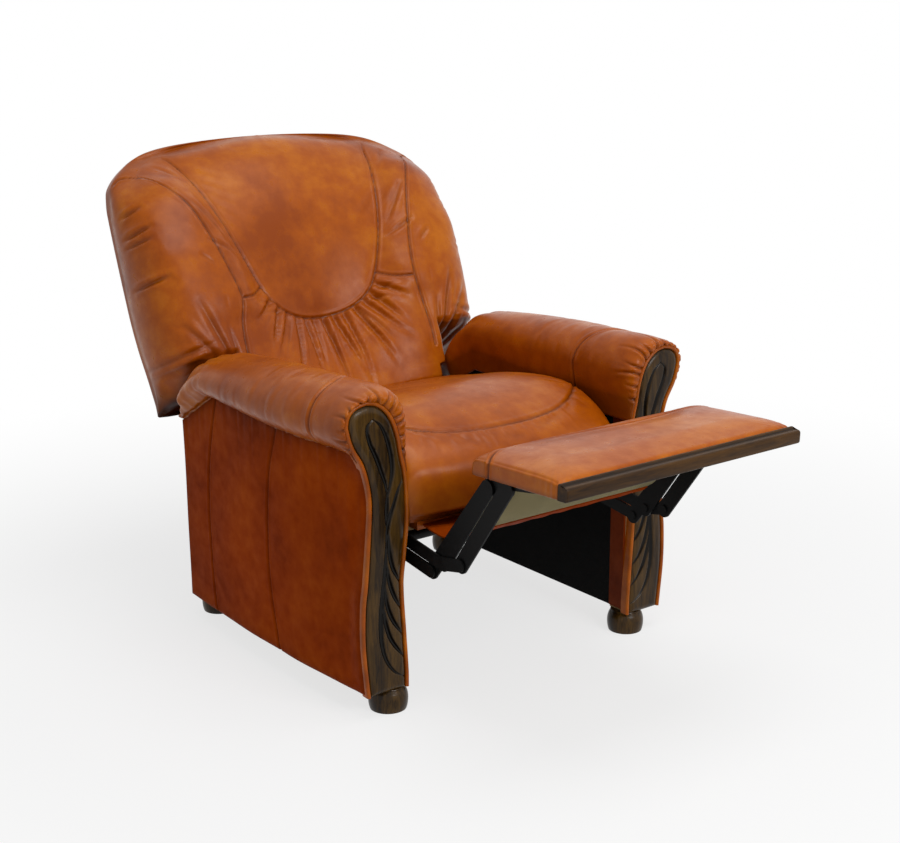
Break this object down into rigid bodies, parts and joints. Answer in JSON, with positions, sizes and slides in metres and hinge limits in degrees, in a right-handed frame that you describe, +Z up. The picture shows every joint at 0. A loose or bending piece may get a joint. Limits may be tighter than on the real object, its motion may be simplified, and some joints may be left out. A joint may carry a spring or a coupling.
{
  "type": "manual recliner chair",
  "caption": "Push-back recliner with rolled arms, carved wooden arm fronts, bun feet, winged padded back and an open footrest on a folding steel linkage.",
  "frame": {"origin": "on the floor, under the middle of the bounding box", "axes": "+Z up, +Y towards the back of the chair, +X towards the sitter's left"},
  "size_m": [0.8538, 1.3444, 0.9439],
  "materials": {
    "walnut": "gloss",
    "frame_wood": "matte",
    "trim_wood": "satin",
    "leather": "gloss",
    "leather_dark": "gloss",
    "lining": "matte",
    "canvas": "matte",
    "black_steel": "satin",
    "spring_steel": "satin",
    "roller": "matte"
  },
  "bodies": {
    "base": {"foot_front_left": "walnut", "foot_front_right": "walnut", "foot_rear_left": "walnut", "foot_rear_right": "walnut", "posts_front": "frame_wood", "posts_rear": "frame_wood", "arm_rails_top": "frame_wood", "arm_rails_bottom": "frame_wood", "side_panel_left": "leather", "side_panel_right": "leather", "arm_lining_left": "lining", "arm_lining_right": "lining", "arm_strips": "leather", "arm_pad_left": "leather", "arm_pad_right": "leather", "arm_facing_left": "walnut", "arm_facing_right": "walnut", "facing_welt_left": "leather_dark", "facing_welt_right": "leather_dark", "base_rail_rear": "frame_wood", "base_cross_tube": "black_steel", "slide_channel_left": "black_steel", "slide_channel_right": "black_steel"},
    "seat": {"seat_rail_left": "frame_wood", "seat_rail_right": "frame_wood", "seat_rail_front": "leather", "seat_rail_rear": "frame_wood", "seat_springs": "spring_steel", "seat_cushion": "leather", "seat_plate_left": "black_steel", "seat_plate_right": "black_steel", "seat_rollers": "roller", "hinge_pins": "spring_steel", "pivot_rivets": "spring_steel", "leg_flap": "canvas"},
    "back": {"back_uprights": "frame_wood", "back_rail_low": "frame_wood", "back_rail_top": "frame_wood", "back_wing_boards": "frame_wood", "back_cushion": "leather", "back_panel": "leather_dark", "dust_cover": "lining", "back_bracket_left": "black_steel", "back_bracket_right": "black_steel"},
    "rear_links": {"rear_link_left": "black_steel", "rear_link_right": "black_steel", "torque_tube": "black_steel"},
    "front_links": {"front_link_left": "black_steel", "front_link_right": "black_steel"},
    "rear_straps": {"rear_strap_left": "black_steel", "rear_strap_right": "black_steel"},
    "front_straps": {"front_strap_left": "black_steel", "front_strap_right": "black_steel"},
    "footrest": {"footrest_board": "frame_wood", "footrest_pad": "leather", "footrest_trim": "trim_wood", "footrest_bracket_left": "black_steel", "footrest_bracket_right": "black_steel"}
  },
  "joints": [
    {"name": "footrest_fold", "type": "hinge", "parent": "seat", "child": "rear_links", "pos_m": [0, -0.13445, 0.29254], "axis": [1, 0, 0], "range_deg": [0, 92.8], "deforming": ["leg_flap"]},
    {"name": "front_link_turn", "type": "hinge", "parent": "seat", "child": "front_links", "pos_m": [0, -0.16701, 0.31577], "axis": [1, 0, 0], "range_deg": [0, 92.8]},
    {"name": "rear_strap_turn", "type": "hinge", "parent": "rear_links", "child": "rear_straps", "pos_m": [0, -0.29285, 0.27], "axis": [1, 0, 0], "range_deg": [-92.8, 0]},
    {"name": "front_strap_turn", "type": "hinge", "parent": "front_links", "child": "front_straps", "pos_m": [0, -0.37542, 0.30423], "axis": [1, 0, 0], "range_deg": [-92.8, 0]},
    {"name": "footrest_turn", "type": "hinge", "parent": "rear_straps", "child": "footrest", "pos_m": [0, -0.44538, 0.45845], "axis": [1, 0, 0], "range_deg": [0, 92.8]},
    {"name": "back_recline", "type": "hinge", "parent": "seat", "child": "back", "pos_m": [0, 0.25515, 0.33], "axis": [-1, 0, 0], "range_deg": [-12, 25]},
    {"name": "seat_slide", "type": "slide", "parent": "base", "child": "seat", "axis": [0, -1, 0], "range_m": [-0.0196, 0.0407]}
  ],
  "couplings": [
    {"joint": "front_link_turn", "follows": "footrest_fold", "ratio": 1},
    {"joint": "rear_strap_turn", "follows": "footrest_fold", "ratio": -1},
    {"joint": "front_strap_turn", "follows": "footrest_fold", "ratio": -1},
    {"joint": "footrest_turn", "follows": "footrest_fold", "ratio": 1},
    {"joint": "seat_slide", "follows": "back_recline", "m_per_rad": 0.093}
  ]
}
